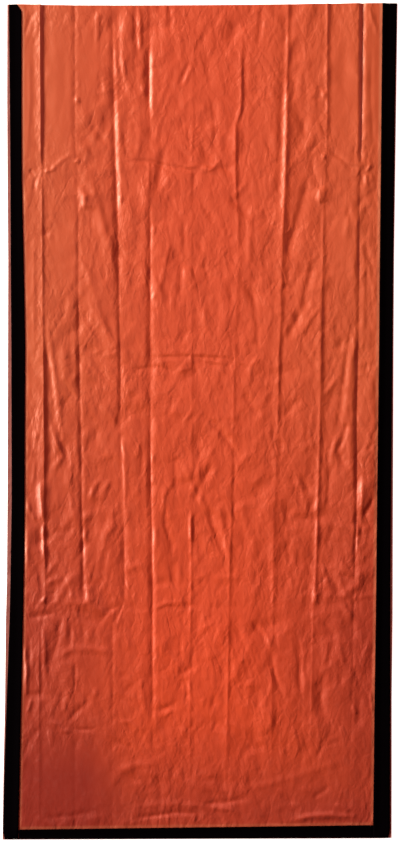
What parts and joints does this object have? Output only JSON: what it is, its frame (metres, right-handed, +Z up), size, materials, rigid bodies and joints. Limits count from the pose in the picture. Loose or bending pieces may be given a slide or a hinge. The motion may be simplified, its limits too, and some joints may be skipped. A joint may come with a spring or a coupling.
{
  "type": "emergency sleeping bag",
  "caption": "Rectangular sleeping bag of thin orange plastic film laid flat, black tape along both sides and foot, open at the head.",
  "frame": {"origin": "middle of the bag's footprint, on the ground", "axes": "+Z up through the front panel, +Y from the foot towards the open mouth, +X across the bag"},
  "size_m": [0.9358, 1.9816, 0.0163],
  "materials": {
    "orange_film": "thin metallised plastic film, satin, with fold lines and fine crumples",
    "black_tape": "matt black seam tape"
  },
  "bodies": {
    "root": {"back_film": "orange_film", "front_film": "orange_film", "left_tape": "black_tape", "right_tape": "black_tape", "foot_tape": "black_tape"}
  },
  "joints": []
}
